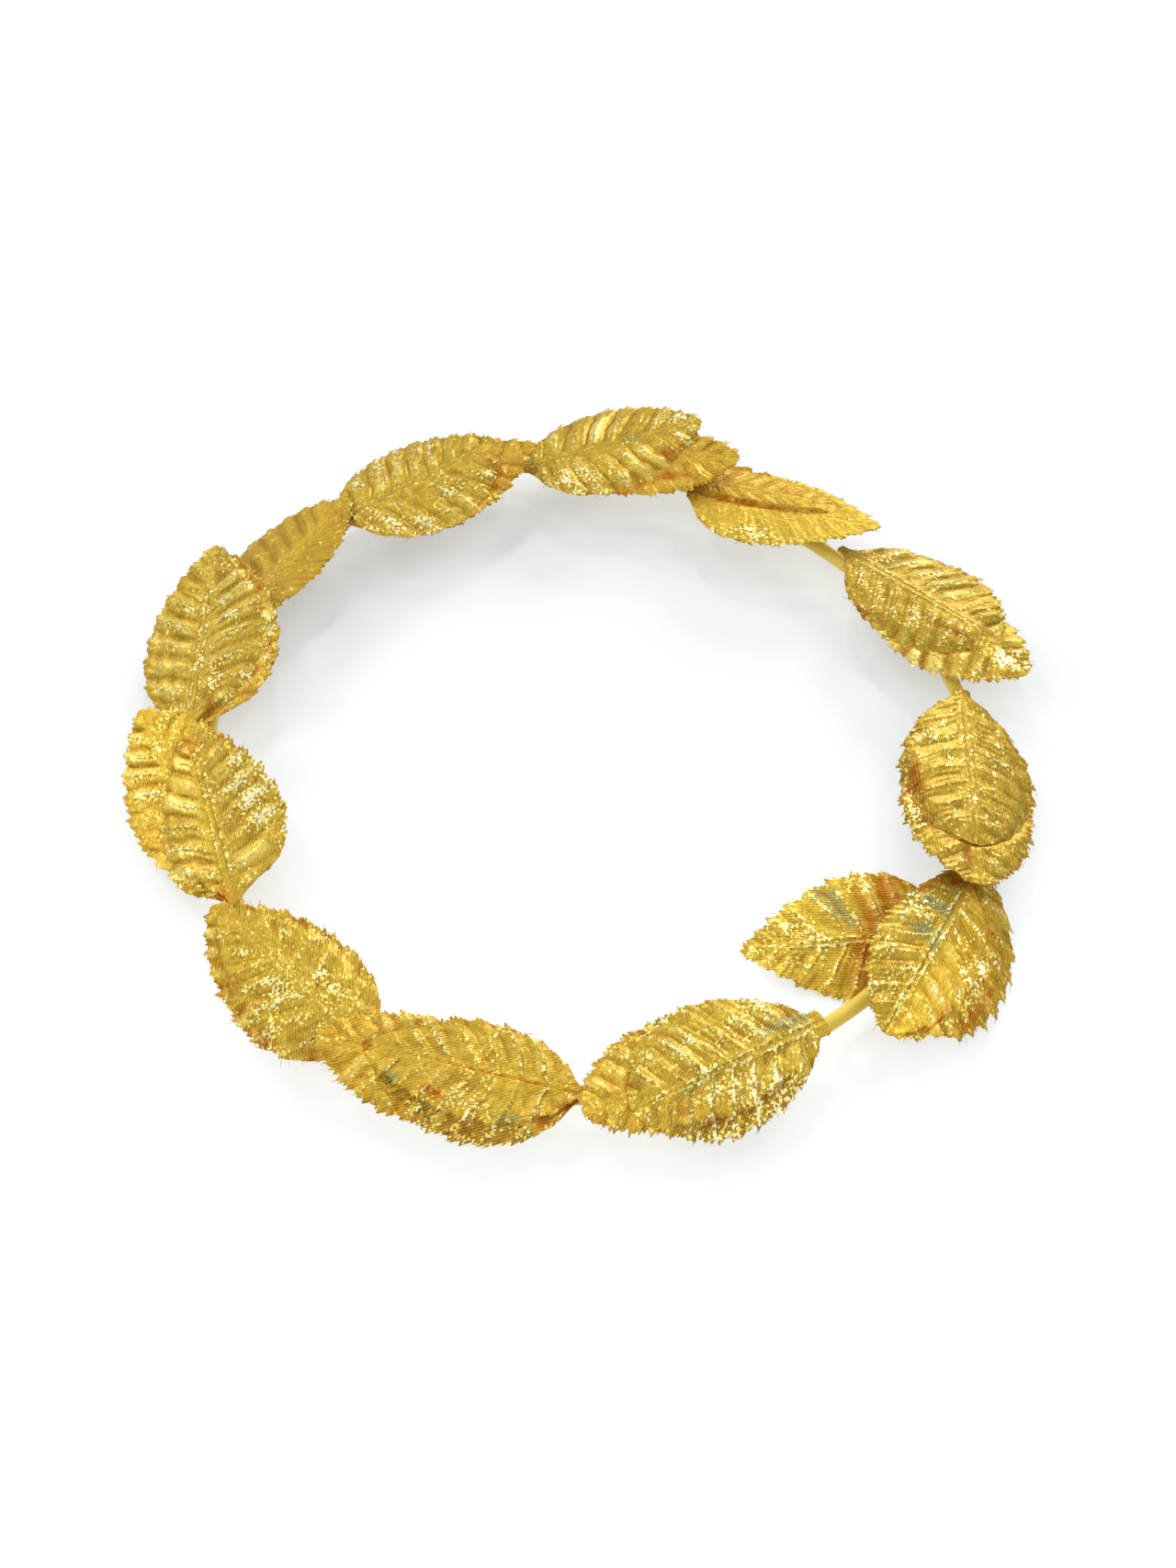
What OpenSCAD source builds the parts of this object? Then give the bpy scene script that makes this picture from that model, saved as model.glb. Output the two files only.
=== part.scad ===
// Laurel wreath crown: one closed wire hoop with veined cloth leaves laid along it in pairs.
// Every leaf points clockwise seen from above, and each pair's tip lies over the next pair's base.
// The wreath lies on its lowest leaf edges, with the hoop level and +Z up.

/* [Hoop] */
// Mean radius of the ring, to the middle of the wire
hoop_r = 95; // [85:1:110]
// Thickness of the coated wire
wire_d = 3.6; // [3:0.1:4.6]
// How far the ring is squeezed along X, as a share of its radius
squeeze_share = 0.010; // [0:0.005:0.03]
// How far the ring is squeezed along its diagonal, as a share of its radius
skew_share = 0.027; // [0:0.005:0.05]
// How far the ring is pulled into an egg shape, as a share of its radius
egg_share = 0.026; // [0:0.005:0.05]

/* [Leaves] */
// Length of a full leaf along its midrib
leaf_l = 50; // [44:1:54]
// Width of a full leaf
leaf_w = 33; // [26:1:36]
// Thickness of the cloth wall
wall = 1.0; // [1:0.1:1.4]
// Side veins on each half of a leaf
veins = 9; // [6:1:9]
// Height of the pressed ribs above and below the middle of the cloth
rib_h = 0.35; // [0.2:0.05:0.45]
// How round the outline is: larger is more pointed at both ends
taper = 1.52; // [1.2:0.02:1.8]
// How far a side vein runs forward from midrib to edge, as a share of the leaf's length
sweep = 0.15; // [0.05:0.01:0.2]

/* [Fit] */
// Clear space between a leaf and the wire that carries it
seat_gap = 0.3; // [0.2:0.05:0.6]
// Clear space between the top leaf and the under leaf of one pair
layer_gap = 0.3; // [0.2:0.05:0.6]
// Clear height that a tip has over the base that it passes
tip_gap = 0.7; // [0.5:0.1:1.5]
// Angle round the hoop from one pair to the next, on average
pair_angle = 36; // [34:1:38]

/* [Hidden] */

lame = [0.80, 0.65, 0.22];
coated_wire = [0.93, 0.82, 0.38];

// Steps of the meshes.
hoop_steps = 72;
wire_sides = 8;
across = [-1, -0.55, 0, 0.55, 1];
end_share = 0.006;

// Pressed middle line: its depth as a share of the rib height.
groove_share = 0.6;

half_w = leaf_w / 2;
layer = wall + 2 * rib_h + layer_gap;
seat = wire_d / 2 + wall / 2 + rib_h + seat_gap;
climb_unit = asin((2 * layer + tip_gap) / (hoop_r * pair_angle * PI / 180));

// A pair is one gently arched sheet of space that its one or two leaves follow.
// at: degrees round the hoop from +X. out: outward of the wire, in leaf widths.
// turn: degrees outward of the clockwise tangent. climb: rise of the tip, in climb units.
// slope: degrees that the outer side falls. arch: degrees that each side droops at its edge.
// side: 1 lies on the wire, -1 hangs below it.
//   at     out  turn climb slope arch side
A = [304.5, .015,  -5, 0.95,   3,  14,  1];
B = [270.5, .045, -11, 1.75,  -1,  14,  1];
C = [241.5, .060, -15, 0.90,   2,  14,  1];
D = [211.0, .015,  -9, 1.00,  17,  14,  1];
E = [176.5, .000,   4, 0.90,  17,  14,  1];
F = [158.0, .120, -17, 1.65,  15,  14,  1];
G = [132.5, -.15, -10, 0.80,   9,  14,  1];
H = [100.0, -.18,   4, 1.90,   8,  14,  1];
I = [74.5, -.165,  -3, 0.80,   8,  14,  1];
J = [43.0,  .000,   6, 0.60,   7,  14,  1];
K = [9.0,  -.030, -11, 1.20,  12,  14,  1];
L = [335.0, .060,   0, 1.00,  20,  14,  1];
M = [329.0, .060, -52, 0.20,  14,   4, -1];

// The leaves. layer: 0 lies on the wire, 1 on the leaf below. ahead, long: in leaf lengths.
// aside: outward, in leaf widths. splay: degrees outward of the pair's line.
// outer, inner: widths of the two halves. belly: where the leaf is widest, from its base.
//            pair layer ahead aside splay long outer inner belly
leaves = [
    ["leaf_a_top",   A, 1,  .00,  .00,   0, 1.00,  .90, 1.10, .57],
    ["leaf_a_under", A, 0,  .20,  .00,  -5, 1.00,  .64,  .95, .55],
    ["leaf_b_top",   B, 1,  .00,  .00,   0, 1.00, 1.00,  .78, .48],
    ["leaf_b_under", B, 0,  .22,  .00,   0, 1.00,  .87,  .68, .50],
    ["leaf_c_top",   C, 1,  .00,  .00,   0, 1.00,  .98,  .84, .43],
    ["leaf_c_under", C, 0,  .04,  .00,   1, 1.00,  .88,  .82, .48],
    ["leaf_d_top",   D, 1,  .00,  .00,  -5, 1.04,  .86, 1.00, .40],
    ["leaf_d_under", D, 0,  .16, -.02,   7, 1.08,  .92, 1.00, .44],
    ["leaf_e_top",   E, 1, -.02,  .11,  -2, 1.10, 1.00, 1.00, .44],
    ["leaf_e_under", E, 0, -.03,  .00,  -4, 1.04, 1.00,  .93, .41],
    ["leaf_f",       F, 0,  .00,  .00,   0, 1.00, 1.05,  .65, .48],
    ["leaf_g_top",   G, 1,  .00,  .00,   0, 1.00, 1.08, 1.14, .48],
    ["leaf_g_under", G, 0,  .15, -.06,  -6, 1.00, 1.00,  .86, .40],
    ["leaf_h_top",   H, 1,  .00,  .00,  -2, 1.00, 1.00, 1.00, .46],
    ["leaf_h_under", H, 0,  .18,  .00, -20, 1.00,  .62,  .74, .50],
    ["leaf_i_top",   I, 1,  .00,  .08,   0,  .92,  .62,  .30, .45],
    ["leaf_i_under", I, 0,  .10, -.05,   1, 1.05,  .90,  .85, .38],
    ["leaf_j_top",   J, 1,  .00,  .00,   0, 1.00, 1.02, 1.02, .57],
    ["leaf_j_under", J, 0,  .25, -.03,  -4, 1.00,  .78,  .98, .50],
    ["leaf_k_top",   K, 1,  .00,  .00,   0, 1.00, 1.00, 1.00, .58],
    ["leaf_k_under", K, 0,  .24,  .00,   0, 1.00,  .92, 1.02, .52],
    ["leaf_l_top",   L, 1,  .00,  .00,  -4, 1.00, 1.00,  .76, .50],
    ["leaf_l_under", L, 0, -.12,  .00,  12,  .95,  .82,  .90, .50],
    ["leaf_m",       M, 0, -.03,  .00,   0, 1.00,  .92, 1.00, .37]];

// Radius of the ring's middle line at an angle round it.
function ring_r(a) = hoop_r
    * (1 - squeeze_share * cos(2 * a) - skew_share * sin(2 * a) + egg_share * cos(3 * a));
function outward(q) = norm([q[0], q[1]]) - ring_r(atan2(q[1], q[0]));

// Half-width of a leaf outline at share t of its length, 1 at its belly.
function spread(t, belly) = pow(t / belly, belly * taper)
    * pow((1 - t) / (1 - belly), (1 - belly) * taper);

// Arc that starts at angle a and turns by k degrees for each unit of its length s.
function arc_y(a, k, s) = abs(k) < 1e-6 ? s * cos(a) : (sin(a + k * s) - sin(a)) / k * 180 / PI;
function arc_z(a, k, s) = abs(k) < 1e-6 ? s * sin(a) : (cos(a) - cos(a + k * s)) / k * 180 / PI;

// Point of a pair's arched space: u along it, v outward, n above it, before it is seated.
function raw_pt(p, u, v, n) =
    let(r = ring_r(p[0]) + p[1] * leaf_w,
        way = p[0] - 90 + p[2],
        climb = p[3] * climb_unit,
        tilt = -p[4] - p[5] * v / half_w,
        y = arc_y(-p[4], -p[5] / half_w, v) - n * sin(tilt),
        z = arc_z(-p[4], -p[5] / half_w, v) + n * cos(tilt),
        run = u * cos(climb) - z * sin(climb))
    [r * cos(p[0]) + run * cos(way) - y * sin(way),
     r * sin(p[0]) + run * sin(way) + y * cos(way),
     u * sin(climb) + z * cos(climb)];

// Sideways place at distance u along a pair where the pair lies over the wire.
function over_wire(p, u, v, turns) = turns == 0 ? v
    : over_wire(p, u, v - outward(raw_pt(p, u, v, 0)), turns - 1);

// The leaf of a pair that touches the wire, and the lift that seats the pair with its gap.
function lowest_leaf(p) = [for (f = leaves) if (f[1] == p && f[2] == 0) f][0];
function seat_lifts(p, f) = [for (i = [0 : 18])
    let(t = max(i / 18, 0.01),
        u = (f[3] + t * f[6]) * leaf_l,
        v = over_wire(p, u, 0, 5),
        own = v - f[4] * leaf_w - t * f[6] * leaf_l * sin(f[5]),
        w = half_w * spread(t, f[9]))
    if (own < w * f[7] + wall && own > -w * f[8] - wall)
        p[6] * seat / cos(p[4] + p[5] * v / half_w) - raw_pt(p, u, v, 0)[2]];
function lift(p) = p[6] > 0 ? max(seat_lifts(p, lowest_leaf(p))) : min(seat_lifts(p, lowest_leaf(p)));

// Leaf stations follow the side veins: ridge, valley, ridge, from base to tip.
stations = 2 * round(veins);
function station_t(k, across_share) =
    let(t = end_share + (1 - 2 * end_share) * k / stations)
    t + 4 * sweep * t * (1 - t) * abs(across_share);
function ripple(k, across_share) = k == 0 || k == stations ? 0
    : across_share == 0 ? -groove_share * rib_h
    : (k % 2 == 0 ? -rib_h : rib_h);

// Point of a leaf: k the station, s the share across it, up the height above its middle sheet.
function leaf_pt(f, k, s, up, rise) =
    let(t = station_t(k, s),
        x = t * f[6] * leaf_l,
        y = s * half_w * (s > 0 ? f[7] : f[8]) * spread(t, f[9]),
        q = raw_pt(f[1],
            f[3] * leaf_l + x * cos(f[5]) - y * sin(f[5]),
            f[4] * leaf_w + x * sin(f[5]) + y * cos(f[5]),
            f[2] * layer + ripple(k, s) + up))
    [q[0], q[1], q[2] + rise];

// Shift that stands the lowest leaf edge on the table and centres the wreath on the origin.
edge_pts = [for (f = leaves) let(rise = lift(f[1])) for (k = [0 : stations])
    for (s = [-1, 1]) for (side = [-1, 1]) leaf_pt(f, k, s, side * wall / 2, rise)];
lows = [for (i = [0 : 2]) min([for (q = edge_pts) q[i]])];
highs = [for (i = [0 : 2]) max([for (q = edge_pts) q[i]])];
stand = [-(lows[0] + highs[0]) / 2, -(lows[1] + highs[1]) / 2, -lows[2]];

module hoop() {
    ring = [for (i = [0 : hoop_steps - 1]) let(a = 360 * i / hoop_steps)
        for (j = [0 : wire_sides - 1]) let(b = 360 * j / wire_sides,
            r = ring_r(a) + wire_d / 2 * cos(b))
        [r * cos(a), r * sin(a), wire_d / 2 * sin(b)]];
    faces = [for (i = [0 : hoop_steps - 1]) for (j = [0 : wire_sides - 1])
        let(i2 = (i + 1) % hoop_steps, j2 = (j + 1) % wire_sides,
            p = i * wire_sides, q = i2 * wire_sides)
        each [[p + j, p + j2, q + j2], [p + j, q + j2, q + j]]];
    color(coated_wire) translate(stand) polyhedron(ring, faces, convexity = 4);
}

module leaf(name) {
    f = [for (g = leaves) if (g[0] == name) g][0];
    rise = lift(f[1]);
    wide = len(across);
    count = (stations + 1) * wide;
    points = [for (side = [1, -1]) for (k = [0 : stations]) for (s = across)
        leaf_pt(f, k, s, side * wall / 2, rise)];
    cloth = [for (k = [0 : stations - 1]) for (j = [0 : wide - 2])
        let(a = k * wide + j, b = a + wide)
        each [[a, a + 1, b], [a + 1, b + 1, b],
            [count + a, count + b, count + a + 1], [count + a + 1, count + b, count + b + 1]]];
    rim = concat([for (k = [0 : stations - 1]) k * wide],
        [for (j = [0 : wide - 2]) stations * wide + j],
        [for (k = [stations : -1 : 1]) k * wide + wide - 1],
        [for (j = [wide - 1 : -1 : 1]) j]);
    edge = [for (i = [0 : len(rim) - 1]) let(a = rim[i], b = rim[(i + 1) % len(rim)])
        each [[a, b, count + a], [b, count + b, count + a]]];
    color(lame) translate(stand) polyhedron(points, concat(cloth, edge), convexity = 6);
}

hoop();
leaf("leaf_a_top");  // leaf_a_top
leaf("leaf_a_under");  // leaf_a_under
leaf("leaf_b_top");  // leaf_b_top
leaf("leaf_b_under");  // leaf_b_under
leaf("leaf_c_top");  // leaf_c_top
leaf("leaf_c_under");  // leaf_c_under
leaf("leaf_d_top");  // leaf_d_top
leaf("leaf_d_under");  // leaf_d_under
leaf("leaf_e_top");  // leaf_e_top
leaf("leaf_e_under");  // leaf_e_under
leaf("leaf_f");  // leaf_f
leaf("leaf_g_top");  // leaf_g_top
leaf("leaf_g_under");  // leaf_g_under
leaf("leaf_h_top");  // leaf_h_top
leaf("leaf_h_under");  // leaf_h_under
leaf("leaf_i_top");  // leaf_i_top
leaf("leaf_i_under");  // leaf_i_under
leaf("leaf_j_top");  // leaf_j_top
leaf("leaf_j_under");  // leaf_j_under
leaf("leaf_k_top");  // leaf_k_top
leaf("leaf_k_under");  // leaf_k_under
leaf("leaf_l_top");  // leaf_l_top
leaf("leaf_l_under");  // leaf_l_under
leaf("leaf_m");  // leaf_m
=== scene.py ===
"""Laurel wreath crown: gold lame leaves and a coated wire hoop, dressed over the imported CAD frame."""

import math

import bpy
import numpy as np
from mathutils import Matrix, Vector


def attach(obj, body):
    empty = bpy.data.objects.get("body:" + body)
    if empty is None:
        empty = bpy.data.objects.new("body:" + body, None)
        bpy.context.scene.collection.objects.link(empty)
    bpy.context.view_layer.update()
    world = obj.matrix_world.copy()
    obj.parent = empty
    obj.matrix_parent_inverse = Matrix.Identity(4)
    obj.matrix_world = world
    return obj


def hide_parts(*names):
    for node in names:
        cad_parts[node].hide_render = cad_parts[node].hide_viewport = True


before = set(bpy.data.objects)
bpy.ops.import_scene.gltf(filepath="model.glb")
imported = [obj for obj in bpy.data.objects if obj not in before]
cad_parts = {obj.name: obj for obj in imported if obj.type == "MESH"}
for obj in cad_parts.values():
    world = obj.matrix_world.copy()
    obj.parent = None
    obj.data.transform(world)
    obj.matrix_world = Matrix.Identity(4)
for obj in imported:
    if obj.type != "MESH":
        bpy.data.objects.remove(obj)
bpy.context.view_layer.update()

MM = 0.001
D2R = math.pi / 180

# Named sizes, in mm and degrees, as in the part's source.
HOOP_R, WIRE_D = 95.0, 3.6
SQUEEZE, SKEW, EGG = 0.010, 0.027, 0.026
LEAF_L, LEAF_W, WALL = 50.0, 33.0, 1.0
VEINS, RIB_H, TAPER, SWEEP = 9, 0.35, 1.52, 0.15
SEAT_GAP, LAYER_GAP, TIP_GAP, PAIR_ANGLE = 0.3, 0.3, 0.7, 36.0
END_SHARE = 0.006
HALF_W = LEAF_W / 2
LAYER = WALL + 2 * RIB_H + LAYER_GAP
SEAT = WIRE_D / 2 + WALL / 2 + RIB_H + SEAT_GAP
CLIMB_UNIT = math.asin((2 * LAYER + TIP_GAP) / (HOOP_R * PAIR_ANGLE * D2R)) / D2R
STATIONS = 2 * VEINS

# A pair is one gently arched sheet of space that its one or two leaves follow. at: degrees round the hoop
# from +X. out: outward of the wire, in leaf widths. turn: degrees outward of the clockwise tangent.
# climb: how steeply it rises to the tip, in climb units. slope: degrees that the outer side falls.
# arch: degrees that each side droops at its edge. side: 1 lies on the wire, -1 hangs below it.
#   at, out, turn, climb, slope, arch, side
PAIRS = {
    "A": (304.5, 0.015, -5, 0.95, 3, 14, 1),
    "B": (270.5, 0.045, -11, 1.75, -1, 14, 1),
    "C": (241.5, 0.060, -15, 0.90, 2, 14, 1),
    "D": (211.0, 0.015, -9, 1.00, 17, 14, 1),
    "E": (176.5, 0.000, 4, 0.90, 17, 14, 1),
    "F": (158.0, 0.120, -17, 1.65, 15, 14, 1),
    "G": (132.5, -0.150, -10, 0.80, 9, 14, 1),
    "H": (100.0, -0.180, 4, 1.90, 8, 14, 1),
    "I": (74.5, -0.165, -3, 0.80, 8, 14, 1),
    "J": (43.0, 0.000, 6, 0.60, 7, 14, 1),
    "K": (9.0, -0.030, -11, 1.20, 12, 14, 1),
    "L": (335.0, 0.060, 0, 1.00, 20, 14, 1),
    "M": (329.0, 0.060, -52, 0.20, 14, 4, -1),
}

# layer: 0 is next to the wire, 1 lies on the leaf below. ahead, long: in leaf lengths. aside: outward, in
# leaf widths. splay: degrees outward of the pair's line. outer, inner: widths of the two halves, in half
# leaf widths. belly: where the leaf is widest, as a share of its length.
#   pair, layer, ahead, aside, splay, long, outer, inner, belly
LEAVES = {
    "leaf_a_top": ("A", 1, 0.00, 0.00, 0, 1.00, 0.90, 1.10, 0.57),
    "leaf_a_under": ("A", 0, 0.20, 0.00, -5, 1.00, 0.64, 0.95, 0.55),
    "leaf_b_top": ("B", 1, 0.00, 0.00, 0, 1.00, 1.00, 0.78, 0.48),
    "leaf_b_under": ("B", 0, 0.22, 0.00, 0, 1.00, 0.87, 0.68, 0.50),
    "leaf_c_top": ("C", 1, 0.00, 0.00, 0, 1.00, 0.98, 0.84, 0.43),
    "leaf_c_under": ("C", 0, 0.04, 0.00, 1, 1.00, 0.88, 0.82, 0.48),
    "leaf_d_top": ("D", 1, 0.00, 0.00, -5, 1.04, 0.86, 1.00, 0.40),
    "leaf_d_under": ("D", 0, 0.16, -0.02, 7, 1.08, 0.92, 1.00, 0.44),
    "leaf_e_top": ("E", 1, -0.02, 0.11, -2, 1.10, 1.00, 1.00, 0.44),
    "leaf_e_under": ("E", 0, -0.03, 0.00, -4, 1.04, 1.00, 0.93, 0.41),
    "leaf_f": ("F", 0, 0.00, 0.00, 0, 1.00, 1.05, 0.65, 0.48),
    "leaf_g_top": ("G", 1, 0.00, 0.00, 0, 1.00, 1.08, 1.14, 0.48),
    "leaf_g_under": ("G", 0, 0.15, -0.06, -6, 1.00, 1.00, 0.86, 0.40),
    "leaf_h_top": ("H", 1, 0.00, 0.00, -2, 1.00, 1.00, 1.00, 0.46),
    "leaf_h_under": ("H", 0, 0.18, 0.00, -20, 1.00, 0.62, 0.74, 0.50),
    "leaf_i_top": ("I", 1, 0.00, 0.08, 0, 0.92, 0.62, 0.30, 0.45),
    "leaf_i_under": ("I", 0, 0.10, -0.05, 1, 1.05, 0.90, 0.85, 0.38),
    "leaf_j_top": ("J", 1, 0.00, 0.00, 0, 1.00, 1.02, 1.02, 0.57),
    "leaf_j_under": ("J", 0, 0.25, -0.03, -4, 1.00, 0.78, 0.98, 0.50),
    "leaf_k_top": ("K", 1, 0.00, 0.00, 0, 1.00, 1.00, 1.00, 0.58),
    "leaf_k_under": ("K", 0, 0.24, 0.00, 0, 1.00, 0.92, 1.02, 0.52),
    "leaf_l_top": ("L", 1, 0.00, 0.00, -4, 1.00, 1.00, 0.76, 0.50),
    "leaf_l_under": ("L", 0, -0.12, 0.00, 12, 0.95, 0.82, 0.90, 0.50),
    "leaf_m": ("M", 0, -0.03, 0.00, 0, 1.00, 0.92, 1.00, 0.37),
}

# How each leaf is finished, heights in mm. pillow: pressed bands on the outer and inner half. line: thin
# veins on the outer and inner half. cords: the two cords of the midrib. crinkle: random creases.
# thread: degrees from the midrib to the weave. sheen: 1 is bright lame, 0 is dull. warm: share of orange.
# glint: how much foil glitters. tone: how light the cloth is, partly its own tone and partly painted light
# and shade that evens out how brightly each leaf is lit.
LOOK_COLUMNS = "pillow_out pillow_in line_out line_in cords crinkle thread sheen warm glint tone".split()
LOOKS = {
    "leaf_a_top": (0.16, 0.16, 0.74, 0.56, 0.50, 0.18, 34, 1.00, 0.06, 1.35, 0.84),
    "leaf_a_under": (0.20, 0.20, 0.22, 0.22, 0.12, 0.22, 34, 0.85, 0.26, 0.80, 0.92),
    "leaf_b_top": (0.12, 0.14, 0.50, 0.38, 0.03, 0.18, 29, 0.80, 0.16, 0.85, 0.86),
    "leaf_b_under": (0.24, 0.22, 0.18, 0.18, 0.10, 0.26, 29, 0.95, 0.28, 1.00, 0.92),
    "leaf_c_top": (0.16, 0.14, 0.26, 0.28, 0.12, 0.22, -46, 0.90, 0.08, 1.20, 0.87),
    "leaf_c_under": (0.32, 0.20, 0.16, 0.16, 0.10, 0.26, -46, 0.85, 0.26, 0.80, 0.92),
    "leaf_d_top": (0.38, 0.24, 0.32, 0.42, 0.34, 0.16, -22, 1.00, 0.08, 1.50, 0.90),
    "leaf_d_under": (0.46, 0.32, 0.22, 0.20, 0.14, 0.18, -22, 1.00, 0.16, 1.10, 1.18),
    "leaf_e_top": (0.26, 0.22, 0.30, 0.42, 0.36, 0.18, -10, 0.95, 0.10, 1.20, 0.77),
    "leaf_e_under": (0.34, 0.32, 0.24, 0.22, 0.12, 0.20, -10, 1.00, 0.15, 1.10, 0.86),
    "leaf_f": (0.24, 0.06, 0.00, 0.30, 0.04, 0.04, 5, 0.45, 0.20, 0.70, 0.80),
    "leaf_g_top": (0.44, 0.28, 0.26, 0.26, 0.22, 0.24, 20, 0.90, 0.12, 1.55, 0.77),
    "leaf_g_under": (0.28, 0.28, 0.16, 0.16, 0.10, 0.26, 20, 0.75, 0.28, 0.70, 0.88),
    "leaf_h_top": (0.40, 0.28, 0.22, 0.24, 0.18, 0.18, 15, 0.90, 0.12, 1.00, 0.77),
    "leaf_h_under": (0.25, 0.25, 0.12, 0.14, 0.10, 0.22, 15, 0.55, 0.22, 0.45, 0.86),
    "leaf_i_top": (0.20, 0.10, 0.04, 0.08, 0.06, 0.10, 5, 0.40, 0.24, 0.22, 0.82),
    "leaf_i_under": (0.07, 0.06, 0.05, 0.06, 0.06, 0.08, 5, 0.50, 0.10, 0.40, 0.86),
    "leaf_j_top": (0.26, 0.18, 0.16, 0.24, 0.24, 0.20, 20, 0.72, 0.12, 0.90, 0.66),
    "leaf_j_under": (0.30, 0.30, 0.20, 0.20, 0.12, 0.24, 20, 1.00, 0.15, 1.10, 0.78),
    "leaf_k_top": (0.13, 0.12, 0.12, 0.14, 0.10, 0.22, 4, 0.80, 0.12, 0.60, 0.70),
    "leaf_k_under": (0.15, 0.14, 0.12, 0.12, 0.06, 0.24, 4, 0.85, 0.20, 0.80, 0.73),
    "leaf_l_top": (0.20, 0.09, 0.44, 0.19, 0.60, 0.16, 4, 1.00, 0.16, 1.15, 1.04),
    "leaf_l_under": (0.24, 0.24, 0.22, 0.20, 0.12, 0.24, 4, 0.90, 0.24, 1.15, 0.90),
    "leaf_m": (0.14, 0.16, 0.46, 0.42, 0.36, 0.14, -7, 1.00, 0.04, 1.25, 1.13),
}

# Where the cloth is doubled near its edge and its lower layer shows past a ragged line: side (1 is the outer
# half), first and last place along the leaf, and place of the line across it.
TUCKS = {
    "leaf_a_top": (1, 0.24, 0.86, 0.68),
    "leaf_b_top": (1, 0.02, 0.90, 0.68),
    "leaf_d_top": (1, 0.00, 0.20, 0.55),
    "leaf_k_top": (-1, 0.50, 0.84, 0.80),
    "leaf_l_top": (1, 0.48, 0.94, 0.70),
}
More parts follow.
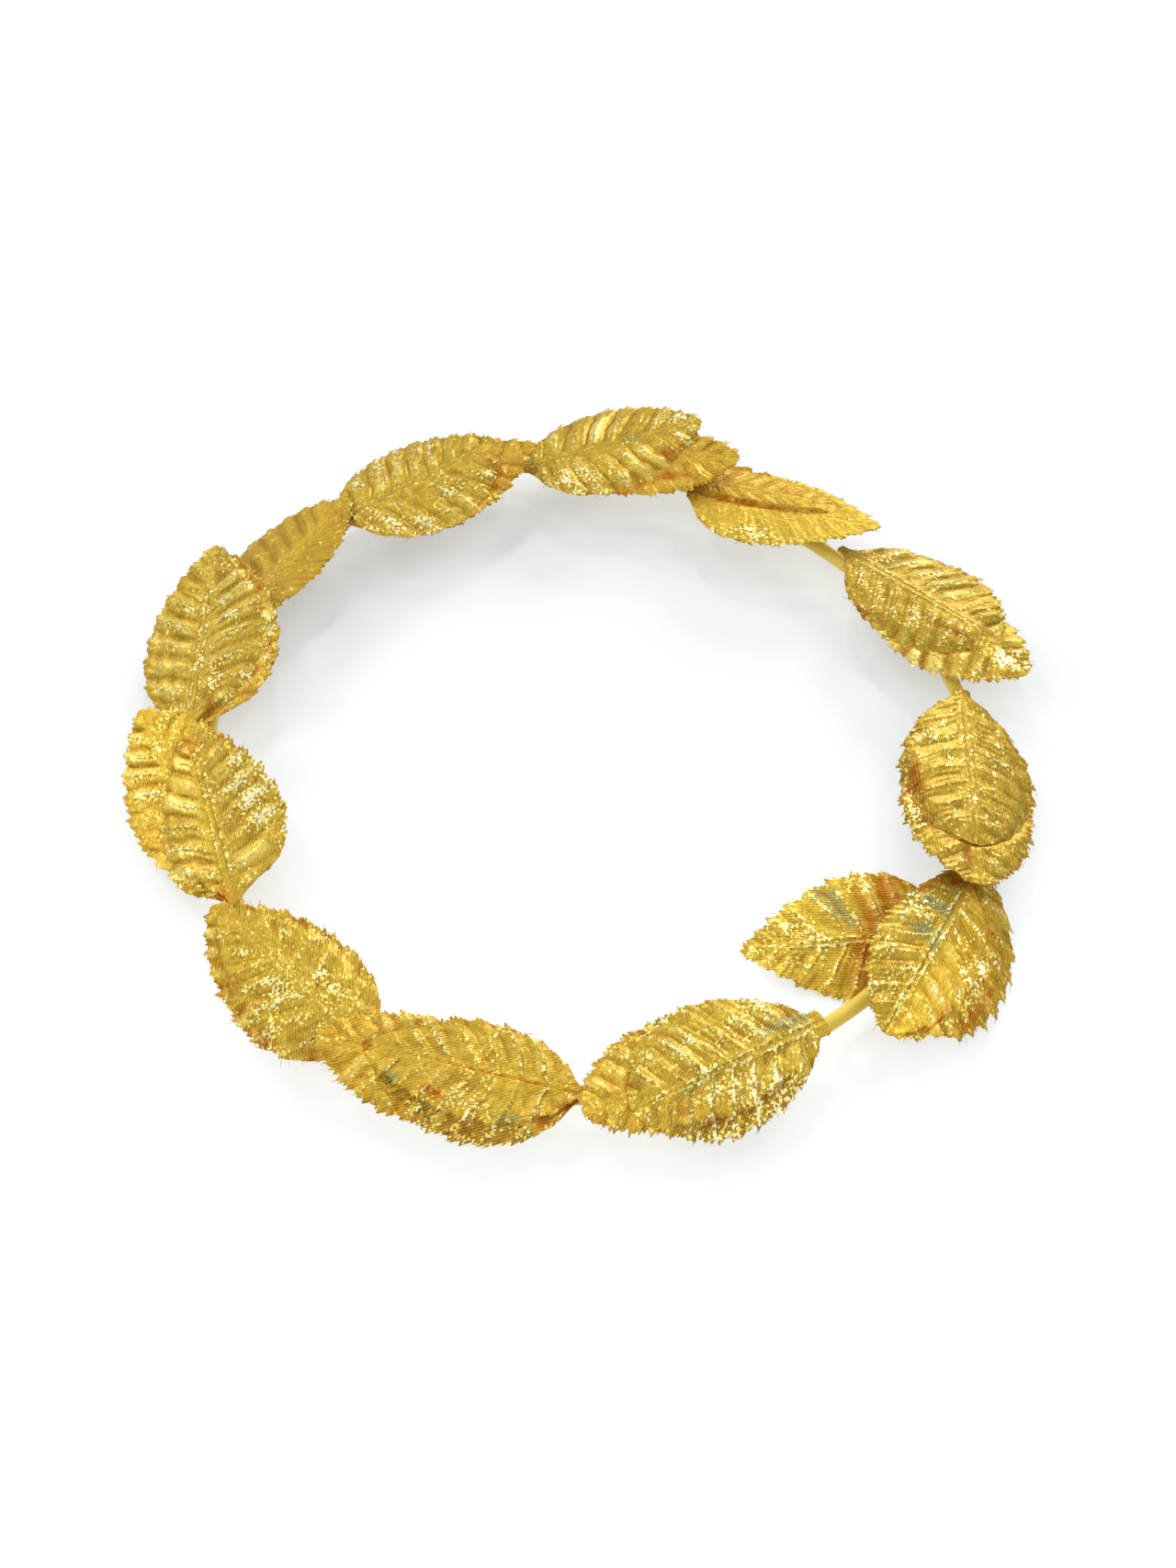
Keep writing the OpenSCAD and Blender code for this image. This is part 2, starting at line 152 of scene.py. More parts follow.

# Patches of another tone: leaf, place along it, place across it (1 is the outer edge), radius along and
# across in mm, warm (orange-brown) and green (dull grey-green) amount. Warm patches along a leaf's edge or
# where one leaf tucks under another are painted crevice shade; the rest are the cloth's own tone.
#   leaf, along, across, along_mm, across_mm, warm, green
PATCHES = [
    ("leaf_a_top", 0.16, -0.38, 3.0, 1.7, 0.0, 1.0),
    ("leaf_a_top", 0.27, -0.28, 2.4, 1.7, 0.0, 1.0),
    ("leaf_a_top", 0.07, -0.60, 1.5, 1.2, 0.0, 0.8),
    ("leaf_a_top", 0.10, -0.85, 3.0, 1.2, 0.8, 0.0),
    ("leaf_a_top", 0.74, 0.10, 3.0, 0.9, 0.0, 0.8),
    ("leaf_a_top", 0.80, 0.42, 2.6, 1.0, 1.0, 0.0),
    ("leaf_a_top", 0.72, 0.70, 4.0, 1.6, 1.0, 0.0),
    ("leaf_a_top", 0.34, 0.72, 2.4, 1.2, 0.9, 0.0),
    ("leaf_a_under", 0.55, -0.40, 5.0, 3.0, 0.5, 0.0),
    ("leaf_b_top", 0.07, 0.60, 3.0, 1.2, 1.2, 0.0),
    ("leaf_b_top", 0.18, 0.70, 2.6, 1.0, 1.2, 0.0),
    ("leaf_b_top", 0.20, 0.95, 1.8, 1.3, 0.0, 0.9),
    ("leaf_b_top", 0.28, 0.62, 2.2, 1.2, 0.0, 0.7),
    ("leaf_b_top", 0.38, 0.86, 2.0, 1.4, 0.0, 0.8),
    ("leaf_b_top", 0.37, 0.60, 3.4, 0.9, 0.0, 0.7),
    ("leaf_b_top", 0.57, 0.45, 2.2, 1.0, 0.0, 0.7),
    ("leaf_b_top", 0.50, 0.80, 3.0, 1.6, 0.9, 0.0),
    ("leaf_b_top", 0.68, 0.75, 3.0, 1.4, 0.0, 0.8),
    ("leaf_b_top", 0.66, 0.50, 3.0, 1.4, 0.9, 0.0),
    ("leaf_b_top", 0.84, 0.60, 2.4, 1.2, 0.0, 0.8),
    ("leaf_b_top", 0.30, 0.00, 16.0, 0.36, 0.9, 0.0),
    ("leaf_b_under", 0.70, 0.30, 2.6, 1.8, 0.0, 0.8),
    ("leaf_c_top", 0.68, 0.85, 2.0, 2.4, 1.0, 0.0),
    ("leaf_c_top", 0.55, 0.88, 1.2, 3.4, 1.0, 0.0),
    ("leaf_c_top", 0.38, 0.92, 4.0, 2.0, 1.2, 0.0),
    ("leaf_c_top", 0.16, 0.85, 2.6, 1.6, 1.0, 0.0),
    ("leaf_c_top", 0.22, 0.45, 2.8, 1.2, 0.0, 0.8),
    ("leaf_d_top", 0.05, 0.50, 3.0, 1.6, 1.2, 0.0),
    ("leaf_d_top", 0.86, 0.30, 3.0, 2.6, 0.7, 0.0),
    ("leaf_d_top", 0.50, -0.80, 3.4, 1.6, 0.0, 0.6),
    ("leaf_e_under", 0.55, -0.85, 4.0, 1.6, 0.0, 0.8),
    ("leaf_e_top", 0.10, -0.50, 2.6, 1.6, 0.7, 0.0),
    ("leaf_g_top", 0.04, 0.20, 1.6, 2.0, 1.2, 0.0),
    ("leaf_g_top", 0.90, -0.60, 3.4, 2.4, 0.7, 0.0),
    ("leaf_g_top", 0.30, -0.05, 4.0, 1.0, 0.0, 0.5),
    ("leaf_g_under", 0.70, -0.50, 4.0, 3.0, 0.6, 0.0),
    ("leaf_h_top", 0.80, -0.80, 4.0, 2.0, 0.9, 0.0),
    ("leaf_h_top", 0.60, 0.03, 6.0, 0.9, 0.0, 0.7),
    ("leaf_i_top", 0.06, 0.00, 7.0, 2.5, 1.2, 0.0),
    ("leaf_i_top", 0.45, -0.95, 12.0, 1.0, 1.2, 0.0),
    ("leaf_i_under", 0.06, 0.20, 4.0, 2.5, 1.2, 0.0),
    ("leaf_j_top", 0.36, -0.96, 7.0, 1.3, 0.9, 0.0),
    ("leaf_j_top", 0.76, -0.35, 6.0, 0.9, 1.3, 0.0),
    ("leaf_h_under", 0.62, -0.50, 8.0, 1.2, 0.9, 0.0),
    ("leaf_k_top", 0.66, -0.80, 6.0, 1.5, 1.0, 0.0),
    ("leaf_k_top", 0.45, -0.97, 6.0, 1.1, 0.8, 0.0),
    ("leaf_k_under", 0.80, -0.20, 6.0, 1.0, 0.9, 0.0),
    ("leaf_l_top", 0.24, -0.45, 2.0, 5.5, 0.0, 1.1),
    ("leaf_l_top", 0.11, -0.30, 1.6, 1.6, 0.0, 0.9),
    ("leaf_l_top", 0.40, -0.30, 2.6, 3.2, 0.0, 1.0),
    ("leaf_l_top", 0.45, 0.00, 7.0, 0.7, 0.0, 0.7),
    ("leaf_l_top", 0.03, 0.30, 1.0, 3.0, 0.7, 0.0),
    ("leaf_l_top", 0.70, 0.66, 3.0, 1.0, 1.1, 0.0),
    ("leaf_l_top", 0.40, 0.88, 1.6, 1.4, 1.0, 0.0),
    ("leaf_l_under", 0.75, 0.30, 6.0, 4.0, 0.4, 0.0),
    ("leaf_m", 0.37, 0.50, 5.0, 8.0, 1.5, 0.0),
    ("leaf_m", 0.28, -0.50, 5.5, 8.0, 1.5, 0.0),
    ("leaf_m", 0.52, -0.60, 3.0, 4.5, 0.0, 0.7),
    ("leaf_m", 0.60, -0.85, 2.5, 2.5, 0.0, 0.7),
    ("leaf_m", 0.62, 0.06, 8.0, 0.9, 0.0, 0.8),
    ("leaf_m", 0.47, -0.30, 3.0, 5.0, 0.0, 0.5),
]

# Spots where the foil glitters most: leaf, place along and across it, radius along and across in mm, amount.
#   leaf, along, across, along_mm, across_mm, amount
GLITTER = [
    ("leaf_a_top", 0.45, 0.45, 14.0, 4.0, 0.3),
    ("leaf_c_top", 0.45, 0.10, 12.0, 6.0, 0.5),
    ("leaf_d_top", 0.45, -0.60, 8.0, 3.0, 0.5),
    ("leaf_d_under", 0.75, 0.30, 8.0, 5.0, 0.5),
    ("leaf_e_top", 0.30, -0.40, 9.0, 4.0, 0.4),
    ("leaf_e_under", 0.45, -0.85, 9.0, 2.5, 1.0),
    ("leaf_g_top", 0.66, 0.62, 4.5, 2.5, 0.8),
    ("leaf_g_top", 0.60, -0.35, 5.0, 4.0, 0.7),
    ("leaf_g_top", 0.25, -0.75, 5.0, 2.0, 0.9),
    ("leaf_g_top", 0.78, -0.70, 4.0, 3.0, 0.6),
    ("leaf_h_top", 0.04, 0.20, 2.5, 2.5, 1.2),
    ("leaf_h_top", 0.30, -0.60, 8.0, 3.0, 0.7),
    ("leaf_h_top", 0.88, 0.10, 5.0, 4.0, 0.8),
    ("leaf_i_under", 0.35, -0.75, 9.0, 2.5, 0.8),
    ("leaf_j_top", 0.45, 0.45, 9.0, 3.5, 0.6),
    ("leaf_j_top", 0.22, -0.50, 5.0, 3.0, 0.6),
    ("leaf_j_under", 0.85, 0.10, 5.0, 4.0, 1.2),
    ("leaf_k_top", 0.35, -0.50, 6.0, 5.0, 0.4),
    ("leaf_k_top", 0.40, 0.60, 7.0, 3.0, 0.25),
    ("leaf_k_under", 0.55, -0.80, 6.0, 2.5, 0.8),
    ("leaf_l_top", 0.42, 0.72, 11.0, 4.5, 0.8),
    ("leaf_l_top", 0.28, -0.55, 2.5, 2.5, 0.8),
    ("leaf_m", 0.80, -0.20, 9.0, 7.0, 0.5),
]

CLOTH = 0.35  # real thickness of the stiffened cloth, mm
EDGE_LOSS = 0.65  # share of it that is pressed away at the cut edge
LOW_GAP, TOP_GAP = 0.05, 0.17  # least height above the table of the cloth's lower and upper face, mm
SHARP = 55  # folds sharper than this aren't smoothed, degrees
WIRE_STEPS, WIRE_SIDES = 360, 20  # points round the hoop, and round its wire
# Grooves get painted shade by depth, full at FULL_RISE.
FULL_RISE = 0.38  # height of the pressed pattern at which a crest or groove has its full colour, mm
LEAN = 0.45  # how far a tooth leans to the tip, as a share of how far it stands out
FRAYS = 110  # loose thread ends on each leaf
FRAY_R, FRAY_INSET = 0.085, 0.25  # their radius, and how far inside the edge they start, mm
ROWS = STATIONS * 10

# Painted shade: orange-brown on an under leaf beside the leaf above it, where the upper leaf shades it.
CREASE_SHADE_PLAIN = 0.55
CREASE_SHADE = {"leaf_g_under": 1.1, "leaf_i_under": 1.2, "leaf_k_under": 1.5, "leaf_l_under": 0.7}
# Painted light and shade by halves: by how much the outer half of a leaf is painted paler than its tone, and
# the inner half darker.
PAINTED_HALF_SHADE = {"leaf_a_top": 0.05, "leaf_b_top": 0.05, "leaf_d_top": 0.10, "leaf_e_top": 0.06,
           "leaf_l_top": 0.23}
# Share that the cloth is drawn in at its base, and how far along the leaf that reaches.
NECK_PLAIN = (0.42, 0.085)
NECK = {"leaf_j_top": (0.70, 0.13), "leaf_d_top": (0.50, 0.10)}
# Half-width of the blunt end on the wire, mm.
COLLAR_PLAIN = 2.2
COLLAR = {"leaf_a_top": 3.3, "leaf_j_top": 1.3, "leaf_l_top": 1.4}
# Shares across at which each half has its columns of points.
HALF_COLUMNS = np.array([0, 0.02, 0.04, 0.06, 0.08, 0.105, 0.14, 0.19, 0.25, 0.32, 0.39, 0.46, 0.53, 0.59,
                         0.635, 0.67, 0.70, 0.73, 0.765, 0.81, 0.86, 0.91, 0.96, 1.0])
COLUMNS = np.concatenate([-HALF_COLUMNS[:0:-1], HALF_COLUMNS])

# Colours, linear. Where a name has two, the surface varies between them.
GOLD = (0.55, 0.375, 0.034, 1), (0.68, 0.475, 0.052, 1)
OCHRE = (0.53, 0.335, 0.034, 1)
BROWN = (0.40, 0.115, 0.006, 1), (0.58, 0.215, 0.012, 1)
DULL_GREEN = (0.32, 0.345, 0.12, 1)
GROOVE_SHADE = (0.38, 0.19, 0.010, 1)
THREAD_GAP = (0.13, 0.065, 0.006, 1)
CREST_HIGHLIGHT = (0.96, 0.76, 0.20, 1)
YARN = (0.27, 0.150, 0.010, 1)
FLECK_GLINT = (0.96, 0.76, 0.14, 1), (1.0, 0.96, 0.54, 1)
COATING = (0.72, 0.50, 0.055, 1), (0.84, 0.62, 0.10, 1)
TABLE, TABLE_GLOW = (0.52, 0.525, 0.52, 1), (0.90, 0.96, 1.0, 1)
SKY = (0.94, 0.975, 1.0, 1)
THREAD_MM, PLY_MM = 0.62, 0.80  # from thread to thread, and from twist to twist along a thread

# Square soft lights: azimuth (0 is the camera's side, 180 behind) and elevation in degrees, size in m, and
# brightness.
LIGHTS = {
    "back": (155, 23, 0.42, 13),
    "back_left": (226, 30, 0.36, 6.5),
    "front": (0, 58, 0.80, 1.3),
    "left": (281, 38, 0.34, 6.5),
    "right": (66, 38, 0.28, 5.5),
    "glint": (183, 56, 0.12, 26),
    "high_left": (250, 66, 0.16, 12),
    "high_right": (110, 66, 0.16, 10),
}
LIGHT_DISTANCE, TABLE_SIZE = 1.1, 6  # m
GLOW_FRONT, GLOW_BACK = (-0.08, 0.56), (0.03, 0.36)  # y on the table, m, and the table's own light there
SKY_FRONT, SKY_BACK = (-0.8, 0.44), (0.9, 0.58)  # y of the direction, and the brightness of the sky there
CAMERA_ELEVATION = 54 * D2R
CAMERA_DISTANCE = 0.55  # m
AIM = Vector((1.14, -6.40, 0.13)) * MM
FRAME_H, FOCAL = 1707, 2428  # height of the photo and focal length of its lens, in pixels of the photo
SENSOR = 36  # mm along the photo's longer side


def look(name):
    """How a leaf is finished, by the names of the table's columns."""
    return dict(zip(LOOK_COLUMNS, LOOKS[name]))


def leaf_length(name):
    """Length of a leaf, mm."""
    return LEAVES[name][5] * LEAF_L


def partner(name):
    """The other leaf of the pair."""
    return name.replace("_top", "_under") if name.endswith("_top") else name.replace("_under", "_top")


def smoothstep(low, high, x):
    """Smooth change from 0 at low to 1 at high, which may be below low."""
    t = np.clip((x - low) / (high - low), 0, 1)
    return t * t * (3 - 2 * t)


def lattice(ix, iy, seed):
    """Repeatable random number from 0 to 1 at each whole-number place."""
    h = (ix.astype(np.int64) * 374761393 + iy.astype(np.int64) * 668265263 + seed * 974634777) & 0xFFFFFFFF
    h = ((h ^ (h >> 13)) * 1274126177) & 0xFFFFFFFF
    return (h ^ (h >> 16)) / 0xFFFFFFFF


def noise(x, y, seed):
    """Smooth random field from -1 to 1, with features about 1 apart."""
    ix, iy = np.floor(x), np.floor(y)
    fx, fy = smoothstep(0, 1, x - ix), smoothstep(0, 1, y - iy)
    a, b = lattice(ix, iy, seed), lattice(ix + 1, iy, seed)
    c, d = lattice(ix, iy + 1, seed), lattice(ix + 1, iy + 1, seed)
    return 2 * ((a * (1 - fx) + b * fx) * (1 - fy) + (c * (1 - fx) + d * fx) * fy) - 1


def ring_r(a):
    """Radius of the wire's middle line at an angle round it."""
    return HOOP_R * (1 - SQUEEZE * np.cos(2 * a) - SKEW * np.sin(2 * a) + EGG * np.cos(3 * a))


def spread(t, belly):
    """Half-width of a leaf outline at share t of its length, 1 at its belly."""
    t = np.clip(t, 0, 1)
    return (t / belly) ** (belly * TAPER) * ((1 - t) / (1 - belly)) ** ((1 - belly) * TAPER)


def raw_point(pair, u, v, n):
    """Point of a pair's arched space: u along it, v outward, n above it, before it is seated."""
    at, out, turn, climb, slope, arch, _ = PAIRS[pair]
    u, v, n = np.broadcast_arrays(np.asarray(u, float), v, n)
    r = ring_r(at * D2R) + out * LEAF_W
    way, climb = (at - 90 + turn) * D2R, climb * CLIMB_UNIT * D2R
    start, bend = -slope * D2R, -arch / HALF_W * D2R
    tilt = start + bend * v
    y = (np.sin(tilt) - math.sin(start)) / bend - n * np.sin(tilt)
    z = (math.cos(start) - np.cos(tilt)) / bend + n * np.cos(tilt)
    run = u * math.cos(climb) - z * math.sin(climb)
    return np.stack([
        r * math.cos(at * D2R) + run * math.cos(way) - y * math.sin(way),
        r * math.sin(at * D2R) + run * math.sin(way) + y * math.cos(way),
        u * math.sin(climb) + z * math.cos(climb)], axis=-1)


def find_lift(pair):
    """Height that seats a pair on the wire, from the leaf that touches it."""
    *_, slope, arch, side = PAIRS[pair]
    leaf = next(row for row in LEAVES.values() if row[:2] == (pair, 0))
    ahead, aside, splay, long, outer, inner, belly = leaf[2:]
    needs = []
    for i in range(STATIONS + 1):
        t = max(i / STATIONS, 0.01)
        u, v = (ahead + t * long) * LEAF_L, 0.0
        for _ in range(5):
            q = raw_point(pair, u, v, 0)
            v -= math.hypot(q[0], q[1]) - ring_r(math.atan2(q[1], q[0]))
        own = v - aside * LEAF_W - t * long * LEAF_L * math.sin(splay * D2R)
        w = HALF_W * spread(t, belly)
        if -w * inner - WALL < own < w * outer + WALL:
            seat = side * SEAT / math.cos((slope + arch * v / HALF_W) * D2R)
            needs.append(seat - raw_point(pair, u, v, 0)[2])
    return max(needs) if side > 0 else min(needs)


LIFT = {pair: find_lift(pair) for pair in PAIRS}


def to_pair(name, x, y):
    """Place in the pair's space, u along it and v outward, of leaf coordinates."""
    ahead, aside, splay = LEAVES[name][2:5]
    c, s = math.cos(splay * D2R), math.sin(splay * D2R)
    return ahead * LEAF_L + x * c - y * s, aside * LEAF_W + x * s + y * c


def leaf_to_wreath(name, x, y, n):
    """Places leaf coordinates (x to the tip, y outward, n above the leaf's middle sheet) in the wreath."""
    pair, layer = LEAVES[name][:2]
    u, v = to_pair(name, x, y)
    return raw_point(pair, u, v, layer * LAYER + n) + [0, 0, LIFT[pair]]


def leaf_grid(name, k, s):
    """Share of the length, x and y of stations k and shares s across."""
    long, outer, inner, belly = LEAVES[name][5:]
    t0 = END_SHARE + (1 - 2 * END_SHARE) * k / STATIONS
    t = t0 + 4 * SWEEP * t0 * (1 - t0) * np.abs(s)
    half = HALF_W * np.where(s > 0, outer, inner) * spread(t, belly)
    return t, t * long * LEAF_L, s * half


def stand_shift():
    """Shift that stands the lowest leaf edge on the table and centres the wreath on the origin."""
    k, s = np.meshgrid(np.arange(STATIONS + 1), [-1.0, 1.0], indexing="ij")
    pts = []
    for name in LEAVES:
        _, x, y = leaf_grid(name, k, s)
        pts += [leaf_to_wreath(name, x, y, side * WALL / 2).reshape(-1, 3) for side in (-1, 1)]
    pts = np.concatenate(pts)
    low, high = pts.min(0), pts.max(0)
    return np.array([-(low[0] + high[0]) / 2, -(low[1] + high[1]) / 2, -low[2]])


STAND = stand_shift()


def gathered(name, t, s, y):
    """Cloth outline: the plain one, drawn in at its base, blunt on the wire, and even by the midrib."""
    draw, reach = NECK.get(name, NECK_PLAIN)
    half = np.abs(y) / np.maximum(np.abs(s), 0.001) * (1 - draw * np.exp(-(np.abs(t) / reach) ** 3))
    blunt = COLLAR.get(name, COLLAR_PLAIN) * smoothstep(0.13, 0.06, t) * smoothstep(-0.02, 0.02, t)
    half = np.maximum(half, blunt)
    even = smoothstep(0.25, 0.08, np.abs(s)) * smoothstep(4, 9, half)
    return s * (half * (1 - even) + HALF_W * even)


def teeth(name, k, side, seed):
    """How far one cut edge stands out from the mean outline, mm: lobes at the veins, with small teeth."""
    vein = k / 2 + 0.35
    if name == "leaf_i_top":
        lobe = np.abs(np.sin(np.pi * vein)) ** 0.7 * 1.4
    else:
        lobe = (vein % 1) ** 1.6 * (1 + 0.7 * (name == "leaf_l_under"))
    small = k * 1.75 + noise(k * 0.6, k * 0, seed + 3) * 0.9
    size = 0.35 + 0.90 * lattice(np.floor(small), np.full_like(small, side), seed + 7)
    saw = np.minimum((small % 1) * 1.25, 1) * size
    ends = smoothstep(0, 1.2, k) * smoothstep(0, 0.8, STATIONS - k)
    ruffle = 0.40 if name[5] in "fi" else 0.80
    if name[5] in "ab" and side == 1:
        ruffle = 1.05
    return (lobe - 0.42 + ruffle * (saw - 0.40)) * ends


def edge_out(name, k, side, seed):
    """How far the cut edge stands out at points of the outer (side above 0) and inner half, mm."""
    return np.where(side > 0, teeth(name, k, 1, seed), teeth(name, k, 2, seed + 50))


def outside_of(other, name, x, y):
    """How far points of one leaf of a pair lie outside the outline of the other, mm."""
    u, v = to_pair(name, x, y)
    _, _, ahead, aside, splay, long, outer, inner, belly = LEAVES[other]
    c, s = math.cos(splay * D2R), math.sin(splay * D2R)
    u, v = u - ahead * LEAF_L, v - aside * LEAF_W
    tx, ty = u * c + v * s, -u * s + v * c
    share = np.clip(tx / (long * LEAF_L), 0.001, 0.999)
    side = np.abs(ty) - HALF_W * np.where(ty > 0, outer, inner) * spread(share, belly)
    return np.maximum(side, np.maximum(-tx, tx - long * LEAF_L))


def tuck_line(name, k, s, share, seed):
    """Share across from the ragged line of a doubled edge, and how much of it there is here."""
    side, start, end, at = TUCKS.get(name, (0, 0, 0, 0))
    lobe = ((k / 2 + 0.1) % 1) ** 1.5
    line = (at + 0.05 * (lobe - 0.4) + 0.030 * noise(k * 1.7, k * 0, seed + 30)
            + 0.022 * noise(k * 4.1, k * 0, seed + 31))
    here = (smoothstep(start - 0.04, start + 0.05, share) * smoothstep(end + 0.06, end - 0.06, share)
            * (np.sign(s) == side))
    return np.abs(s) - line, here


def pressed_bands(name, phase, s, x, y, swell, ends, seed):
    """Bands pressed between the side veins, mm, and how much of a crest is at each point."""
    row = look(name)
    strength = 0.40 + lattice(np.floor(phase), (s > 0).astype(int), seed + 2)
    strength *= 1 + 0.45 * noise(x / 5 + 4, y / 5, seed + 15)
    band = np.abs(np.sin(np.pi * phase)) ** (1.8 if name == "leaf_f" else 0.75) * 2 - 1
    pillow = np.where(s > 0, row["pillow_out"], row["pillow_in"]) * strength
    crest = smoothstep(0.1, 0.9, band) * swell * ends * np.clip(pillow / 0.32, 0, 1.2)
    return 1.15 * pillow * band * swell * ends, crest


def vein_lines(name, phase, s, x, y, ends, seed):
    """Thin raised lines on the side veins, mm, and where they glitter like a row of beads."""
    row, vein, a = look(name), np.floor(phase), np.abs(s)
    off = (phase - vein - 0.5) * leaf_length(name) / VEINS
    thin = np.where(s > 0, row["line_out"], row["line_in"])
    thin = thin * (0.7 + 0.6 * lattice(vein, (s > 0).astype(int), seed + 11))
    thin *= np.clip(0.8 + 0.7 * noise(x / 4, y / 2.5, seed + 12), 0, 2)
    thin *= smoothstep(0.03, 0.10, a) * (1 - 0.55 * smoothstep(0.55, 0.95, a)) * ends
    beaded = smoothstep(-0.35, 0.45, noise(x / 3.2 + 7, y / 3.2, seed + 16))
    bead = np.clip(2.2 * thin * np.exp(-(off / 0.42) ** 2) * (0.25 + 0.85 * beaded), 0, 1)
    return thin * (1.2 * np.exp(-(off / 0.40) ** 2) - 0.25), bead


def midrib_cords(name, s, x, y, ends, seed):
    """The two cords of the midrib and the groove between them, mm, and where they glitter."""
    cords, share, mid = look(name)["cords"], x / leaf_length(name), np.abs(y)
    rail = 1.15 - 0.80 * share
    cord = np.exp(-((mid - rail) / 0.34) ** 2) * ends * (1 - 0.6 * smoothstep(0.60, 0.85, share))
    broken = 0.75 + 0.5 * noise(x / 2.2, s * 0 + np.sign(s), seed + 14)
    bead = np.clip(2.4 * cords * cord * broken, 0, 1)
    return cords * cord - 0.10 * np.exp(-(mid / 0.35) ** 2) * ends, bead


def doubled_edge(name, k, s, share, seed):
    """Step down from the upper layer of a doubled edge to its rough lower layer, mm."""
    a = np.abs(s)
    past, here = tuck_line(name, k, s, share, seed)
    step = 0.50 * smoothstep(0.20, 0.62, a) * smoothstep(0.02, -0.01, past)
    step -= 0.27 * smoothstep(-0.01, 0.02, past)
    step += 0.62 * smoothstep(0.02, 0.10, past) * noise(k * 2.3, a * 4, seed + 32)
    return here * step


def relief(name, k, s, x, y, seed):
    """Pressed pattern and lie of the sheet above the leaf's middle, mm; crests and vein lines, 0 to 1."""
    a, mid, share = np.abs(s), np.abs(y), x / leaf_length(name)
    phase = k / 2 + (0.14 * noise(x / 9 + 11, y / 7, seed) + 0.08 * noise(x / 3, y / 3 + 5, seed + 1))
    swell = smoothstep(0.04, 0.30, a) * (1 - 0.30 * smoothstep(0.75, 1, a))
    ends = smoothstep(0.3, 2.2, k) * smoothstep(0.3, 2.0, STATIONS - k)
    bands, crest = pressed_bands(name, phase, s, x, y, swell, ends, seed)
    lines, bead = vein_lines(name, phase, s, x, y, ends, seed)
    fine = np.sin(6 * np.pi * phase + 2 * noise(x / 4, y / 4, seed + 8))
    cords, cord_bead = midrib_cords(name, s, x, y, ends, seed)
    bead = np.maximum(bead, cord_bead)
    fold = noise(x / 5.5 + 3, y / 2.6, seed + 4) + 0.6 * noise(x / 2.1, y / 1.5 + 9, seed + 5)
    h = bands + lines + 0.10 * fine * swell * noise(x / 6, y / 6 + 2, seed + 9) + cords
    h += 0.22 * np.exp(-(mid / 2.6) ** 2) * (1 - share)
    h += look(name)["crinkle"] * fold * smoothstep(0.0, 0.25, a)
    h = np.clip(h * (1 - 0.35 * smoothstep(0.8, 1, a)), -0.62, 0.80)
    rim = smoothstep(0.80, 1, a) * smoothstep(2, 6, mid)
    h += 0.16 * np.sin(2 * np.pi * (k * 1.3 + noise(k / 3, s * 0, seed + 13))) * rim
    h += doubled_edge(name, k, s, share, seed)
    # Lie of the sheet: curled at its edges, and a top leaf droops on to the one below.
    wave = noise(k / 4.5, s * 0 + np.sign(s) * 7, seed + 6)
    curl = smoothstep(0.5, 1, a) ** 1.5 * smoothstep(3, 9, mid)
    if name in ("leaf_f", "leaf_m"):
        return h, curl * (-0.20 + 0.5 * wave), crest, bead
    if LEAVES[name][1]:
        above = smoothstep(1.5, -1.0, outside_of(partner(name), name, x, y))
        bent_tip = smoothstep(0.86, 0.97, share) * (0.4 if name == "leaf_k_top" else 1)
        drop = np.maximum(smoothstep(0.70, 0.98, a), bent_tip)
        lie = curl * (0.05 + 0.30 * wave) * (1 - above) - 1.15 * above * drop
        return h * (1 - 0.5 * above * smoothstep(0.8, 1, a)), lie, crest, bead
    outside = outside_of(partner(name), name, x, y)
    h = h * smoothstep(-0.6, 1.2, outside)
    lie = 0.80 + 0.50 * smoothstep(-1.0, 1.4, outside) + curl * 0.3 * wave * smoothstep(0, 2, outside)
    return h, lie, crest, bead


def place_spots(name, x, y, table):
    """Sum of the soft spots of a table on one leaf, for each amount that the table gives."""
    _, long, outer, inner, belly = LEAVES[name][4:]
    total = [np.zeros_like(x) for _ in table[0][5:]]
    for leaf, along, across, along_mm, across_mm, *amounts in table:
        if leaf == name:
            wide = HALF_W * (outer if across > 0 else inner) * float(spread(along, belly))
            dx, dy = (x - along * long * LEAF_L) / along_mm, (y - across * wide) / across_mm
            blob = np.exp(-dx ** 2 - dy ** 2)
            total = [sofar + amount * blob for sofar, amount in zip(total, amounts)]
    return total


def foil_share(name, k, s, x, y, crest, bead, seed):
    """How thick the flecks of foil lie: on crests, veins and edges, in clusters and where GLITTER says."""
    row, glint = look(name), look(name)["glint"]
    loose = np.clip(1.3 - 3 * np.where(s > 0, row["pillow_out"], row["pillow_in"]), 0.2, 1)
    patchy = noise(x / 6 + 31, y / 4.5, seed + 40) + 0.5 * noise(x / 2.2, y / 1.8, seed + 41)
    cluster = smoothstep(-0.05, 0.65, patchy)
    broken = smoothstep(-0.3, 0.6, noise(k * 0.8, s * 0 + np.sign(s), seed + 42))
    edge = smoothstep(0.86, 1, np.abs(s)) * broken
    past, here = tuck_line(name, k, s, x / leaf_length(name), seed)
    lower = here * smoothstep(0.02, 0.08, past) * smoothstep(-0.4, 0.4, noise(x / 2.2, y / 2.2, seed + 43))
    spots = place_spots(name, x, y, GLITTER)[0] * (0.35 + 0.65 * cluster + 0.5 * crest)
    thick = loose * (0.06 + 0.26 * cluster) + crest * (0.08 + 0.42 * cluster) + 0.32 * edge + 0.34 * lower
    return glint * thick + 1.15 * bead * min(1, glint + 0.3) + spots


